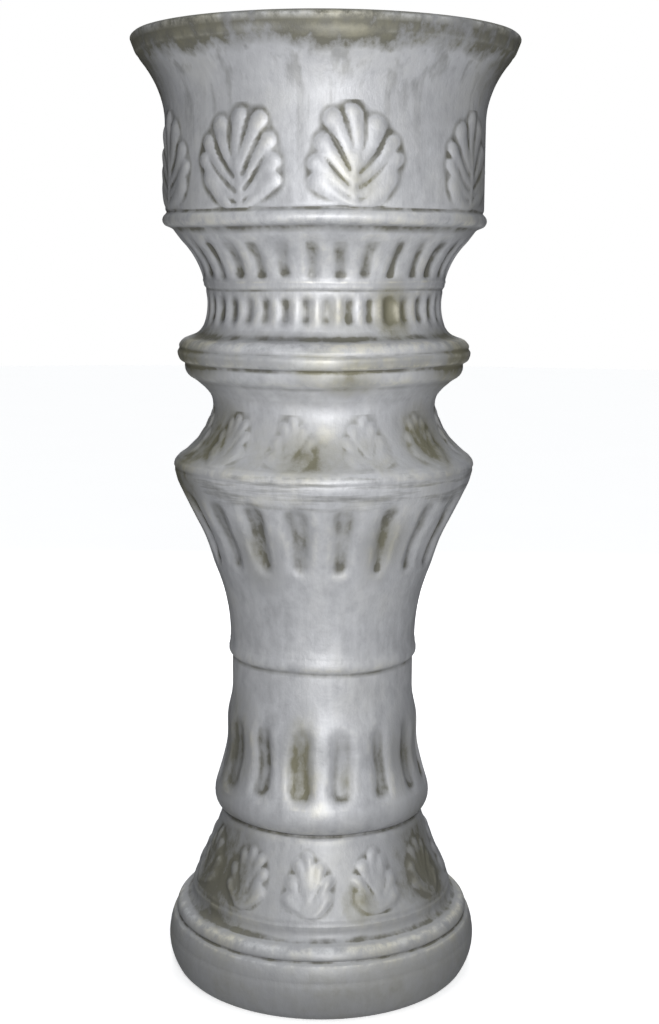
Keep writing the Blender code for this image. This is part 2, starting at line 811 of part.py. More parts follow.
def disc(bm, ring, height, upwards):
    """Closes a ring with a fan to its centre."""
    centre = bm.verts.new((0.0, 0.0, height))
    for (_, a), (_, b) in zip(ring, ring[1:] + ring[:1]):
        bm.faces.new((a, b, centre) if upwards else (b, a, centre))


def paint():
    """Satin grey paint with a faint pearl."""
    material = bpy.data.materials.new("grey_paint")
    material.use_nodes = True
    shader = material.node_tree.nodes["Principled BSDF"]
    shader.inputs["Base Color"].default_value = PAINT_COLOUR
    shader.inputs["Roughness"].default_value = PAINT_ROUGHNESS
    shader.inputs["Metallic"].default_value = PAINT_METALLIC
    return material


def build_column():
    """The whole column as one closed body."""
    bm = bmesh.new()
    foot, lip = outside(bm)
    disc(bm, foot, 0.0, False)
    disc(bm, inside(bm, lip), FLOOR, True)
    mesh = bpy.data.meshes.new("column")
    bm.to_mesh(mesh)
    bm.free()
    mesh.materials.append(paint())
    mesh.shade_smooth()
    mesh.set_sharp_from_angle(angle=SMOOTH_ANGLE)
    column = bpy.data.objects.new("column", mesh)
    bpy.context.scene.collection.objects.link(column)
    return column


def main():
    """Clears the scene and builds the column."""
    for old in list(bpy.data.objects):
        bpy.data.objects.remove(old, do_unlink=True)
    build_column()


main()
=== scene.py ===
"""A tall turned and carved column in satin grey paint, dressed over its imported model.

The body is one surface. Its outside is a radius over height and direction: a turned
outline, a relief carved on seven bands, and the slight unevenness and sway of a hand-cast
piece. It runs over the lip and down the hollow to a closed floor. All sizes are in metres.
Directions are counted from the front, to the right.
"""
import math
from typing import NamedTuple

import bpy
import numpy as np
from bpy.props import FloatProperty, FloatVectorProperty, IntProperty, PointerProperty
from bpy.types import Operator, Panel, PropertyGroup
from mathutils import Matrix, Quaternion, Vector


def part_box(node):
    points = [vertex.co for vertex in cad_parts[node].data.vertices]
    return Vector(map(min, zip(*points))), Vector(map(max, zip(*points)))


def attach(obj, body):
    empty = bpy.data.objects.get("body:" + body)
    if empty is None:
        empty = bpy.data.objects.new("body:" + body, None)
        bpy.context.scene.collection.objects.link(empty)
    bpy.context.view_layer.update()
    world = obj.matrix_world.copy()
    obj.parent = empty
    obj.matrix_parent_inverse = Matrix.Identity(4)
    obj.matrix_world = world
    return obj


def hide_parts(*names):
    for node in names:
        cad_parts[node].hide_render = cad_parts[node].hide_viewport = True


bl_info = {
    "name": "Carved Column",
    "version": (1, 0, 0),
    "blender": (4, 5, 0),
    "location": "3D View > Sidebar > Column",
    "description": "Builds a carved and painted column with its floor, lights and camera",
    "category": "Add Mesh",
}

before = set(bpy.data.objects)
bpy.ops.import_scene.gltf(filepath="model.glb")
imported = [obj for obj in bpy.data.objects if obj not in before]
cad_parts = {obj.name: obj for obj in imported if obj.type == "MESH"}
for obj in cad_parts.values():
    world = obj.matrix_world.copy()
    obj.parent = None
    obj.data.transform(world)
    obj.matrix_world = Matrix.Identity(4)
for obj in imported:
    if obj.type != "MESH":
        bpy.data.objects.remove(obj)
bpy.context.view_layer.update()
COLUMN_NODE = "column"
COLUMN_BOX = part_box(COLUMN_NODE)
HEIGHT = COLUMN_BOX[1][2] - COLUMN_BOX[0][2]


# Turned outline

class Moulding(NamedTuple):
    """One stretch of the outline, going up: its rise, end radius and bow outwards."""

    name: str
    rise: float
    radius: float
    bow: float = 0.0


FOOT_RADIUS = 0.1425
FOOT_MOULDINGS = (
    Moulding("plinth", 0.055, 0.1475, 0.0075),
    Moulding("plinth_groove_in", 0.002, 0.1428),
    Moulding("plinth_groove_out", 0.002, 0.1450),
    Moulding("step", 0.010, 0.1388, 0.0018),
    Moulding("base_cove", 0.016, 0.1290, -0.0045),
    Moulding("base_fillet", 0.004, 0.1275),
    Moulding("cone", 0.070, 0.0988, -0.0026),
    Moulding("cone_groove_in", 0.002, 0.0958),
    Moulding("cone_groove_out", 0.002, 0.0990),
    Moulding("swell_roll", 0.0175, 0.1072, 0.0022),
    Moulding("swell_flare", 0.047, 0.0943, -0.0008),
    Moulding("swell_drum", 0.0265, 0.0943),
    Moulding("swell_shoulder", 0.0255, 0.0883),
)
HEAD_MOULDINGS = (
    Moulding("bead_under", 0.002, 0.0902),
    Moulding("bead", 0.014, 0.0900, 0.0016),
    Moulding("taper_plain", 0.077, 0.1055, -0.0042),
    Moulding("taper_spread", 0.0315, 0.1162, -0.0004),
    Moulding("taper_fluted", 0.0495, 0.1405, 0.0006),
    Moulding("nose_under", 0.012, 0.1438),
    Moulding("nose", 0.011, 0.1400, 0.0016),
    Moulding("scotia_flare", 0.036, 0.1085, -0.0042),
    Moulding("scotia_throat", 0.028, 0.1095, -0.0030),
    Moulding("torus_under", 0.011, 0.1255),
    Moulding("lower_torus", 0.0125, 0.1325, 0.0022),
    Moulding("torus_groove_in", 0.002, 0.1318),
    Moulding("torus_groove_out", 0.002, 0.1368),
    Moulding("upper_torus", 0.020, 0.1335, 0.0042),
    Moulding("torus_ledge", 0.002, 0.1290),
    Moulding("cove", 0.0105, 0.1145, -0.0024),
    Moulding("neck", 0.033, 0.1122, -0.0022),
    Moulding("fillet_under", 0.002, 0.1140),
    Moulding("fillet", 0.007, 0.1140),
    Moulding("cavetto", 0.037, 0.1345, -0.0030),
    Moulding("soffit", 0.012, 0.1435),
    Moulding("ring_under", 0.001, 0.1490),
    Moulding("ring", 0.012, 0.1495, 0.0032),
    Moulding("drum", 0.091, 0.1495),
    Moulding("bell", 0.051, 0.1745, -0.0044),
    Moulding("lip_under", 0.001, 0.1752),
    Moulding("lip", 0.0135, 0.1806),
    Moulding("lip_rounding", 0.0040, 0.1766, 0.0012),
)
SHAFT_RADIUS = 0.0883
WALL = 0.012
FLOOR = 0.016
LIP_EDGE = 0.004
RIM_RING = 0.006
RIM_ROUNDING = 0.0035
FLOOR_CORNER = 0.012
FOOT_ROUNDING = 0.003
BAND_GAP = 0.0012
FINE = 0.00025
EDGE_SOFTNESS = 0.0009


class Crease(NamedTuple):
    """A fine turned line: its height, half width and depth (minus stands out)."""

    height: float
    half_width: float
    depth: float


CREASES = (
    Crease(0.0395, 0.0018, 0.0005),
    Crease(0.0870, 0.0020, 0.0008),
    Crease(0.1610, 0.0030, 0.0012),
    Crease(0.3165, 0.0022, 0.0014),
    Crease(0.3318, 0.0020, -0.0006),
    Crease(0.5010, 0.0018, 0.0009),
    Crease(0.5100, 0.0014, 0.0006),
    Crease(0.5850, 0.0018, 0.0008),
    Crease(0.6145, 0.0022, 0.0016),
    Crease(0.6705, 0.0018, 0.0017),
    Crease(0.6775, 0.0016, -0.0008),
    Crease(0.7405, 0.0016, 0.0012),
    Crease(0.8815, 0.0018, 0.0009),
)
FLOWING_BENDS = (0.1805, 0.2275, 0.2540, 0.2795, 0.4075, 0.4390, 0.5475, 0.5755, 0.8305)
BEND_SOFTNESS = 0.0055
BEND_REACH = 0.0080


def mouldings():
    """All stretches; the plain shaft takes up what the mouldings leave of the height."""
    rest = HEIGHT - sum(m.rise for m in FOOT_MOULDINGS + HEAD_MOULDINGS)
    return FOOT_MOULDINGS + (Moulding("shaft", rest, SHAFT_RADIUS),) + HEAD_MOULDINGS


def level(name):
    """Height of the upper end of a named stretch."""
    names = [m.name for m in mouldings()]
    return sum(m.rise for m in mouldings()[: names.index(name) + 1])


def turned_outline():
    """Fine heights and radii of the outside.

    Each stretch is the chord from its start to its end plus 4 * bow * s * (1 - s)
    across it, for s from 0 to 1. The whole is blurred a little, which rounds its edges,
    and much more near the flowing bends. Each crease takes away a bell-shaped groove.
    """
    heights, radii = [np.zeros(1)], [np.full(1, FOOT_RADIUS)]
    share = np.linspace(0, 1, 33)[1:]
    for moulding in mouldings():
        z0, r0 = heights[-1][-1], radii[-1][-1]
        rise, grow = moulding.rise, moulding.radius - r0
        chord = math.hypot(rise, grow)
        out = 4 * moulding.bow * share * (1 - share)
        heights.append(z0 + rise * share - grow / chord * out)
        radii.append(r0 + grow * share + rise / chord * out)
    height = np.linspace(0, HEIGHT, round(HEIGHT / FINE) + 1)
    radius = np.interp(height, np.concatenate(heights), np.concatenate(radii))
    flowing = sum(np.exp(-(((height - bend) / BEND_REACH) ** 2)) for bend in FLOWING_BENDS)
    flowing = np.clip(flowing, 0, 1)
    radius = blurred(radius, EDGE_SOFTNESS) * (1 - flowing) + blurred(radius, BEND_SOFTNESS) * flowing
    for crease in CREASES:
        radius -= crease.depth * np.exp(-(((height - crease.height) / crease.half_width) ** 2))
    return height, radius


def blurred(values, width):
    """Values on the fine heights, averaged with a bell-shaped weight of that width."""
    reach = round(3 * width / FINE)
    weight = np.exp(-((np.arange(-reach, reach + 1) * FINE / width) ** 2) / 2)
    return np.convolve(np.pad(values, reach, mode="edge"), weight / weight.sum(), mode="valid")


OUTLINE = turned_outline()


def radius_at(height):
    """Radius of the turned outside at heights."""
    return np.interp(height, *OUTLINE)


def inner_radius_at(height):
    """Radius of the hollow: a ball of the wall's thickness just fits between it and the outside."""
    step = round(0.001 / FINE)
    levels, radii = OUTLINE[0][::step], OUTLINE[1][::step]
    reach = WALL**2 - (levels[None, :] - height[:, None]) ** 2
    inner = radii[None, :] - np.sqrt(np.clip(reach, 0, None))
    return np.where(reach >= 0, inner, np.inf).min(axis=1)


def rows_between(start, end, pitch, turn):
    """Heights from start to end, one for each pitch of length plus one for each turn of slope."""
    height = np.linspace(start, end, max(8, round((end - start) / FINE) + 1))
    radius = radius_at(height)
    slope = np.arctan2(np.diff(radius), np.diff(height))
    length = np.hypot(np.diff(radius), np.diff(height)) / pitch
    bending = np.abs(np.diff(slope, prepend=slope[0])) / turn
    work = np.concatenate([[0], np.cumsum(length + bending)])
    count = max(1, math.ceil(work[-1]))
    return np.interp(np.linspace(0, work[-1], count + 1), work, height)


# Carved relief

END_SCATTER = 0.0022
SIDE_WAVER = 0.0011


def soft_step(value):
    """Rises from 0 to 1 with level ends as value goes from 0 to 1."""
    value = np.clip(value, 0, 1)
    return value * value * (3 - 2 * value)


def scatter(number, seed):
    """A fixed, uneven value from 0 to 1 for each whole number."""
    return np.mod(np.sin(number * 12.9898 + seed * 78.233) * 43758.5453, 1.0)


# A band has a fixed number of columns for each flute, rib or leaf, rows a pitch apart, and
# relief, which is how far each point stands out. Its shading has a reach (shade), a depth at
# which its grooves are fully darkened, with grime and painted shade, as a share of the usual
# one, and rubbed crests (rubbed).

class FluteBand(NamedTuple):
    """Flutes side by side: number, direction of the first, rib between two, depth and edge."""

    start: float
    end: float
    count: int
    turn: float
    rib: float
    depth: float
    edge: float
    columns: int
    round_end: float
    fade: float
    pitch: float
    shade: float = 0.0034
    dirt_and_shade_depth: float = 1.0
    rubbed: float = 1.0

    def relief(self, turn, height):
        """A soft bowl over t, the share of the way in from the edge.

        Its depth is a mean of 1 - (1 - t)^2 and the soft step of t. The edge is a slot with
        round ends, its two sides waver a little, its width differs from one flute to the
        next, and it gets shallower over a stretch below its upper end.
        """
        pitch = math.tau / self.count
        place = (turn - math.radians(self.turn)) / pitch
        number = np.round(place)
        radius = radius_at(height)
        across = (place - number) * pitch * radius
        side = (pitch * radius - self.rib) / 2 * (0.88 + 0.24 * scatter(number, 6))
        tip = side * self.round_end
        uneven = END_SCATTER * (scatter(number, 1) - 0.5)
        below = self.start + tip + 0.002 + uneven - height
        above = height - (self.end - tip - 0.001 + uneven)
        beyond = np.maximum(below, above).clip(0) / self.round_end
        across = across + SIDE_WAVER * np.sin(height * 90 + number * 2.1)
        share = np.clip((side - np.hypot(across, beyond)) / self.edge, 0, 1)
        depth = self.depth * (0.75 + 0.50 * scatter(number, 2))
        fading = 1 - 0.6 * soft_step(1 - (self.end - height) / self.fade)
        bowl = 0.45 * (1 - (1 - share) ** 2) + 0.55 * soft_step(share)
        return -depth * bowl * fading


class RibBand(NamedTuple):
    """Round ribs with a groove between each two."""

    start: float
    end: float
    count: int
    turn: float
    depth: float
    fade: float
    columns: int
    pitch: float
    shade: float = 0.0034
    dirt_and_shade_depth: float = 1.0
    rubbed: float = 1.0

    def relief(self, turn, height):
        """Depth times a raised cosine to the power 1.1 round the column, fading out at both ends."""
        place = (turn - math.radians(self.turn)) * self.count
        number = np.round(place / math.tau)
        wave = (0.5 + 0.5 * np.cos(place)) ** 1.1
        ends = np.minimum(height - self.start, self.end - height) / self.fade
        depth = self.depth * (0.75 + 0.5 * scatter(number, 3))
        return -depth * wave * soft_step(ends)


class Lobe(NamedTuple):
    """A finger of a palmette, in shares of the leaf's half width and height."""

    root: float
    out: float
    up: float
    size: float
    bend: float = 0.0


LARGE_LEAF = (
    Lobe(0.00, 0.70, 0.270, 0.115, 0.05),
    Lobe(0.11, 0.80, 0.440, 0.092, 0.05),
    Lobe(0.22, 0.70, 0.610, 0.092, 0.04),
    Lobe(0.34, 0.42, 0.795, 0.108, 0.03),
    Lobe(0.44, 0.00, 0.890, 0.095),
    Lobe(0.00, 0.00, 0.500, 0.048),
)
SMALL_LEAF = (
    Lobe(0.00, 0.72, 0.26, 0.120, 0.05),
    Lobe(0.08, 0.74, 0.52, 0.110, 0.05),
    Lobe(0.18, 0.44, 0.76, 0.115, 0.03),
    Lobe(0.22, 0.00, 0.89, 0.105),
)
ROOT_SHARE = 0.035


class LeafBand(NamedTuple):
    """Palmettes side by side on smooth ground."""

    start: float
    end: float
    base: float
    height: float
    gap: float
    count: int
    turn: float
    depth: float
    lobes: tuple
    columns: int
    pitch: float
    sway: float = 0.0
    shade: float = 0.0044
    dirt_and_shade_depth: float = 0.85
    rubbed: float = 0.35

    def centres(self):
        """Direction of each leaf. The leaves sway from even spacing twice round."""
        even = self.turn + np.arange(self.count) * 360 / self.count
        return np.radians(even + self.sway * np.cos(np.radians(2 * even + 150)))

    def relief(self, turn, height):
        """Depth times the highest finger at each point, each leaf bent a little its own way.

        A finger is a tapered bar from its root to its tip, bent upwards, and its height
        falls with the square of the distance from its back.
        """
        turn = turn + np.zeros_like(height)
        offset = turn[..., None] - self.centres()
        offset = np.mod(offset + math.pi, math.tau) - math.pi
        nearest = np.abs(offset).argmin(axis=-1)
        offset = np.take_along_axis(offset, nearest[..., None], axis=-1)[..., 0]
        middle = radius_at(self.base + self.height / 2)
        half_width = (math.tau * middle / self.count - self.gap) / 2
        along = offset * middle / half_width
        up = (height - self.base) / self.height
        lean = 0.12 * (scatter(nearest, 4) - 0.5)
        phase = nearest * 2.3
        along = along - lean * up + 0.045 * np.sin(up * 8 + phase)
        up = up + 0.030 * np.sin(along * 4.2 + phase * 1.7)
        shape = np.zeros_like(along)
        ratio = half_width / self.height
        for lobe in self.lobes:
            shape = np.maximum(shape, self.finger(lobe, np.abs(along), up, ratio))
        return self.depth * (0.9 + 0.2 * scatter(nearest, 5)) * shape

    def finger(self, lobe, along, up, ratio):
        """Height of one finger and its mirror image, from 0 to 1."""
        reach = np.array([lobe.out * ratio, lobe.up - lobe.root])
        x, y = along * ratio, up - lobe.root
        share = np.clip((x * reach[0] + y * reach[1]) / (reach @ reach), 0, 1)
        sag = lobe.bend * 4 * share * (1 - share)
        away = np.hypot(x - share * reach[0], y - share * reach[1] + sag)
        width = ROOT_SHARE + (lobe.size - ROOT_SHARE) * share**0.8
        dome = np.clip(1 - (away / width) ** 2, 0, None) ** 0.6
        return dome * (0.70 + 0.30 * share)


def even_directions(count, turn):
    """Evenly spaced directions, one of them at turn degrees, in order from 0."""
    return np.sort(np.mod(math.radians(turn) + np.arange(count) * math.tau / count, math.tau))


def carved_bands(carving):
    """The seven carved bands from the foot to the drum."""
    leaf, flute = carving.leaf_relief, carving.flute_depth
    return [
        LeafBand(level("base_fillet") + 0.003, level("cone") - 0.008, level("base_fillet") + 0.005,
                 height=0.053, gap=0.018, count=11, turn=-6.0, depth=leaf * 0.95,
                 lobes=SMALL_LEAF, columns=30, pitch=0.0019),
        FluteBand(level("swell_roll") + 0.008, level("swell_shoulder") - 0.013,
                  count=15, turn=-12.5, rib=0.0140, depth=flute * 0.8, edge=0.0090,
                  columns=18, round_end=0.9, fade=0.024, pitch=0.0050),
        FluteBand(level("taper_plain") + 0.001, level("taper_fluted") - 0.001,
                  count=19, turn=-10.5, rib=0.0145, depth=flute, edge=0.0115,
                  columns=15, round_end=1.0, fade=0.026, pitch=0.0048),
        LeafBand(level("nose"), level("nose") + 0.048, level("nose") + 0.001,
                 height=0.046, gap=0.024, count=11, turn=-14.0, depth=leaf * 0.70,
                 lobes=SMALL_LEAF, columns=28, pitch=0.0020),
        RibBand(level("cove"), level("neck"), count=36, turn=1.5, depth=flute * 0.75,
                fade=0.010, columns=9, pitch=0.0034, dirt_and_shade_depth=1.5),
        FluteBand(level("fillet"), level("cavetto") + 0.004,
                  count=30, turn=6.6, rib=0.0082, depth=flute * 0.66, edge=0.0082,
                  columns=10, round_end=0.5, fade=0.016, pitch=0.0034),
        LeafBand(level("ring") + 0.001, level("drum") - 0.001, level("ring") + 0.002,
                 height=0.087, gap=0.033, count=8, turn=15.0, depth=leaf,
                 lobes=LARGE_LEAF, columns=60, pitch=0.0021, sway=4.7, dirt_and_shade_depth=0.5),
    ]


# Size, waves round, angle for each metre of height and angle at the foot
WAVES = (
    (0.50, 2, 7.0, 0.6),
    (0.35, 3, -11.0, 2.1),
    (0.30, 5, 23.0, 0.0),
    (0.22, 9, -41.0, 1.3),
    (0.15, 14, 67.0, 0.4),
)
SWAY_FADE = 0.06


def unevenness(turn, height, amount):
    """Slow waves round and along the cast body, a fraction of a millimetre high.

    The sum of each wave's size times the sine of its angle.
    """
    return amount * sum(
        size * np.sin(around * turn + along * height + start)
        for size, around, along, start in WAVES)


def sway(turn, height, amount):
    """Rise and fall of the mouldings round the column: two and five waves, none at both ends."""
    ends = soft_step(height / SWAY_FADE) * soft_step((HEIGHT - height) / SWAY_FADE)
    waves = np.sin(2 * turn + 0.4 + 9 * height) + 0.6 * np.sin(5 * turn + 1.9 - 17 * height)
    return amount * waves * ends


# Rings of points. A sheet is a stack of rings with the same directions.

# A point's shading is how far it stands over the mean around it, on the turned outline the
# mean over LEDGE_REACH. It counts from SHADE_START and is full HOLLOW_SCALE further.
HOLLOW_SCALE = 0.0006
SHADE_START = 0.00012
LEDGE_REACH = 0.0022
RELIEF_SOFTNESS = 0.0015
PLAIN_TURN = math.radians(22)
CARVED_TURN = math.radians(30)
HOLLOW_ROWS = 56
LINING_START = 0.014
LINING_FADE = 0.045


class Sheet(NamedTuple):
    """Rows of rings with their directions, radii, heights and finish values."""

    turns: np.ndarray
    radius: np.ndarray
    height: np.ndarray
    hollow: np.ndarray
    crest: np.ndarray
    sunk: np.ndarray
    lining: np.ndarray


def bell_weights(distance, width):
    """Averaging weights for points that far apart, each row adding up to 1."""
    weight = np.exp(-((distance / width) ** 2) / 2)
    return weight / weight.sum(axis=1, keepdims=True)


def spread(relief, turns, heights, width):
    """The relief averaged over its surroundings with a bell-shaped weight of a width."""
    middle = radius_at(heights.mean())
    round_gap = np.mod(turns[:, None] - turns[None, :] + math.pi, math.tau) - math.pi
    across = bell_weights(round_gap * middle, width)
    along = bell_weights(heights[:, None] - heights[None, :], width)
    return along @ relief @ across.T


def averaged_relief(band, turns, heights):
    """Mean of the relief over the cell round each point, from a 3 by 3 set of places in it."""
    cell_turn = math.tau / len(turns) / 3
    cell_height = np.gradient(heights)[:, None] / 3
    turn, height = np.meshgrid(turns, heights)
    places = [(i, k) for i in (-1, 0, 1) for k in (-1, 0, 1)]
    mean = sum(band.relief(turn + i * cell_turn, height + k * cell_height) for i, k in places) / 9
    return spread(mean, turns, heights, RELIEF_SOFTNESS)


def outside_sheet(turns, heights, band, carving):
    """A sheet of the outside, with relief if a carved band is given."""
    turn, height = np.meshgrid(turns, heights)
    relief = averaged_relief(band, turns, heights) if band else np.zeros_like(turn)
    radius = radius_at(height) + relief + unevenness(turn, height, carving.unevenness)
    ledge = OUTLINE[1] - blurred(OUTLINE[1], LEDGE_REACH)
    proud = np.interp(height, OUTLINE[0], ledge)
    scale, rubbed = HOLLOW_SCALE, 1.0
    if band:
        proud = proud + relief - spread(relief, turns, heights, band.shade)
        scale, rubbed = HOLLOW_SCALE * band.dirt_and_shade_depth, band.rubbed
    # Below the mean a point gets the hollow share, which darkens its colour: painted shade in grooves,
    # creases and round the leaves, together with the dark paint that lies there. The sunk share darkens the
    # flutes the same way.
    hollow = np.clip((-proud - SHADE_START) / scale, 0, 1)
    crest = np.clip((proud - SHADE_START) / HOLLOW_SCALE, 0, 1) * rubbed
    sunk = np.clip(-relief / carving.flute_depth, 0, 1)
    return Sheet(turns, radius, height, hollow, crest, sunk, np.zeros_like(radius))


def plain_sheet(count, radius, height, lining):
    """A sheet of even rings through points of an outline, with the lining's share at each."""
    turns = even_directions(count, 0)
    wide = np.ones(count)
    zero = np.zeros((len(radius), count))
    radius, height, lining = (values[:, None] * wide for values in (radius, height, lining))
    return Sheet(turns, radius, height, zero, zero, zero, lining)


def hollow_sheet(count):
    """Over the flat rim, round its inner edge and down the hollow to its floor.

    The paint thins out over the first few centimetres below the rim.
    """
    mouth = radius_at(np.array([HEIGHT]))[0] - (WALL - LIP_EDGE)
    bend = np.linspace(0, math.pi / 2, 6)
    rim_r = np.concatenate([[mouth + RIM_RING], mouth + RIM_ROUNDING * (1 - np.sin(bend))])
    rim_z = np.concatenate([[HEIGHT], HEIGHT - RIM_ROUNDING * (1 - np.cos(bend))])
    height = np.linspace(HEIGHT - WALL, FLOOR + FLOOR_CORNER, HOLLOW_ROWS)
    wall = inner_radius_at(height)
    corner_r = wall[-1] - FLOOR_CORNER * (1 - np.cos(bend[1:]))
    corner_z = FLOOR + FLOOR_CORNER * (1 - np.sin(bend[1:]))
    radius = np.concatenate([rim_r, wall, corner_r])
    heights = np.concatenate([rim_z, height, corner_z])
    lining = soft_step((HEIGHT - LINING_START - heights) / LINING_FADE)
    return plain_sheet(count, radius, heights, lining)


def column_sheets(carving):
    """Every sheet in order from the underside, up the outside, over the lip and down inside."""
    def plain(start, end):
        heights = rows_between(start, end, carving.row_pitch, PLAIN_TURN)
        return outside_sheet(even_directions(carving.plain_columns, 0), heights, None, carving)

    bend = np.linspace(0, math.pi / 2, 5)[:-1]
    under_r = FOOT_RADIUS - FOOT_ROUNDING * (1 - np.sin(bend))
    under_z = FOOT_ROUNDING * (1 - np.cos(bend))
    sheets = [plain_sheet(carving.plain_columns, under_r, under_z, np.zeros_like(bend))]
    start = FOOT_ROUNDING + 0.001
    for band in carved_bands(carving):
        sheets.append(plain(start, band.start - BAND_GAP))
        heights = rows_between(band.start, band.end, band.pitch, CARVED_TURN)
        turns = even_directions(band.count * band.columns, band.turn)
        sheets.append(outside_sheet(turns, heights, band, carving))
        start = band.end + BAND_GAP
    sheets.append(plain(start, HEIGHT))
    sheets.append(hollow_sheet(carving.hollow_columns))
    return sheets


def grid_faces(sheet, first):
    """Triangles of a sheet, closed round the column.

    Each cell is cut along the diagonal whose two ends differ least in relief, so grooves
    that climb to either side stay smooth.
    """
    rows, columns = sheet.radius.shape
    row = np.arange(rows - 1)[:, None] * columns + first
    column = np.arange(columns)[None, :]
    following = (column + 1) % columns
    corners = (row + column, row + following, row + columns + following, row + columns + column)
    a, b, c, d = (corner + np.zeros_like(row + column) for corner in corners)
    relief = sheet.radius - sheet.radius.mean(axis=1, keepdims=True)
    turned = np.roll(relief, -1, axis=1)
    rising = np.abs(relief[:-1] - turned[1:]) <= np.abs(turned[:-1] - relief[1:])
    lower = np.stack([a, b, np.where(rising, c, d)], axis=-1)
    upper = np.stack([np.where(rising, a, b), c, d], axis=-1)
    return np.concatenate([lower.reshape(-1, 3), upper.reshape(-1, 3)])


def seam_faces(lower, upper, lower_first, upper_first):
    """Triangles between two rings of unlike directions.

    The edges of both rings are taken in the order of their middles. Each makes a
    triangle with the point that the other ring has reached by then.
    """
    def middles(turns):
        return (turns + np.append(turns[1:], turns[0] + math.tau)) / 2

    n, m = len(lower), len(upper)
    i, j = np.arange(n), np.arange(m)
    reached = np.searchsorted(middles(upper), middles(lower), side="left") % m
    low = np.stack([lower_first + i, lower_first + (i + 1) % n, upper_first + reached], axis=1)
    reached = np.searchsorted(middles(lower), middles(upper), side="right") % n
    high = np.stack([lower_first + reached, upper_first + (j + 1) % m, upper_first + j], axis=1)
    return np.concatenate([low, high])


def fan_faces(columns, first, centre, upwards):
    """Triangles that close a ring to its centre."""
    i = np.arange(columns)
    following = (i + 1) % columns
    a, b = (i, following) if upwards else (following, i)
    return np.stack([first + a, first + b, np.full(columns, centre)], axis=1)


def join_sheets(sheets, sway_amount):
    """Points, triangles and finish values of the whole closed body, its rings swayed a little."""
    points, triangles, firsts = [], [], []
    count = 0
    for sheet in sheets:
        x = sheet.radius * np.sin(sheet.turns)
        y = -sheet.radius * np.cos(sheet.turns)
        z = sheet.height + sway(sheet.turns, sheet.height, sway_amount)
        points.append(np.stack([x, y, z], axis=-1).reshape(-1, 3))
        triangles.append(grid_faces(sheet, count))
        firsts.append(count)
        count += sheet.radius.size
    for k, (below, above) in enumerate(zip(sheets, sheets[1:])):
        last_ring = firsts[k + 1] - len(below.turns)
        triangles.append(seam_faces(below.turns, above.turns, last_ring, firsts[k + 1]))
    points.append(np.array([[0, 0, sheets[0].height[0, 0]], [0, 0, sheets[-1].height[-1, 0]]]))
    triangles.append(fan_faces(len(sheets[0].turns), 0, count, False))
    triangles.append(fan_faces(len(sheets[-1].turns), count - len(sheets[-1].turns), count + 1, True))
    at_centres = {"hollow": [0, 0], "crest": [0, 0], "sunk": [0, 0], "lining": [0, 1]}
    values = {
        name: np.concatenate([getattr(sheet, name).ravel() for sheet in sheets] + [ends])
        for name, ends in at_centres.items()}
    return np.concatenate(points), np.concatenate(triangles), values


def mesh_from(name, points, triangles, values):
    """A smooth mesh from arrays of points and triangles, with a value per point by name."""
    mesh = bpy.data.meshes.new(name)
    mesh.vertices.add(len(points))
    mesh.vertices.foreach_set("co", points.astype(np.float32).ravel())
    mesh.loops.add(triangles.size)
    mesh.loops.foreach_set("vertex_index", triangles.astype(np.int32).ravel())
    mesh.polygons.add(len(triangles))
    mesh.polygons.foreach_set("loop_start", np.arange(len(triangles), dtype=np.int32) * 3)
    mesh.update(calc_edges=True)
    mesh.shade_smooth()
    for value_name, numbers in values.items():
        attribute = mesh.attributes.new(value_name, "FLOAT", "POINT")
        attribute.data.foreach_set("value", numbers.astype(np.float32))
    return mesh


# Shader sums written as expressions

class Value:
    """A socket that number expressions can be written with."""

    def __init__(self, tree, socket):
        self.tree = tree
        self.socket = socket

    def _math(self, operation, *terms):
        node = self.tree.nodes.new("ShaderNodeMath")
        node.operation = operation
        for socket, term in zip(node.inputs, terms):
            if isinstance(term, Value):
                self.tree.links.new(term.socket, socket)
            else:
                socket.default_value = term
        return Value(self.tree, node.outputs[0])

    def __add__(self, other):
        return self._math("ADD", self, other)

    def __radd__(self, other):
        return self._math("ADD", other, self)

    def __sub__(self, other):
        return self._math("SUBTRACT", self, other)

    def __rsub__(self, other):
        return self._math("SUBTRACT", other, self)

    def __mul__(self, other):
        return self._math("MULTIPLY", self, other)

    def __rmul__(self, other):
        return self._math("MULTIPLY", other, self)

    def __truediv__(self, other):
        return self._math("DIVIDE", self, other)

    def __rtruediv__(self, other):
        return self._math("DIVIDE", other, self)

    def clamped(self):
        """The value kept from 0 to 1."""
        low = self._math("MAXIMUM", self, 0.0)
        return low._math("MINIMUM", low, 1.0)

    def between(self, low, high):
        """Rises from 0 at low to 1 at high."""
        return ((self - low) / (high - low)).clamped()

    def larger(self, other):
        """The larger of two values."""
        return self._math("MAXIMUM", self, other)


class Nodes:
    """The nodes of a material or of the surround."""

    def __init__(self, owner):
        owner.use_nodes = True
        self.tree = owner.node_tree

    def node(self, kind, settings, **sockets):
        """A node of a kind with its settings, then the values or links of its sockets."""
        node = self.tree.nodes.new(kind)
        for name, value in settings.items():
            setattr(node, name, value)
        for name, value in sockets.items():
            self.feed(node.inputs[name.replace("_", " ")], value)
        return node

    def feed(self, socket, value):
        """Gives a socket a value or a link."""
        if isinstance(value, Value):
            self.tree.links.new(value.socket, socket)
        elif isinstance(value, bpy.types.NodeSocket):
            self.tree.links.new(value, socket)
        else:
            socket.default_value = value

    def value(self, socket):
        """A socket as a value for expressions."""
        return Value(self.tree, socket)


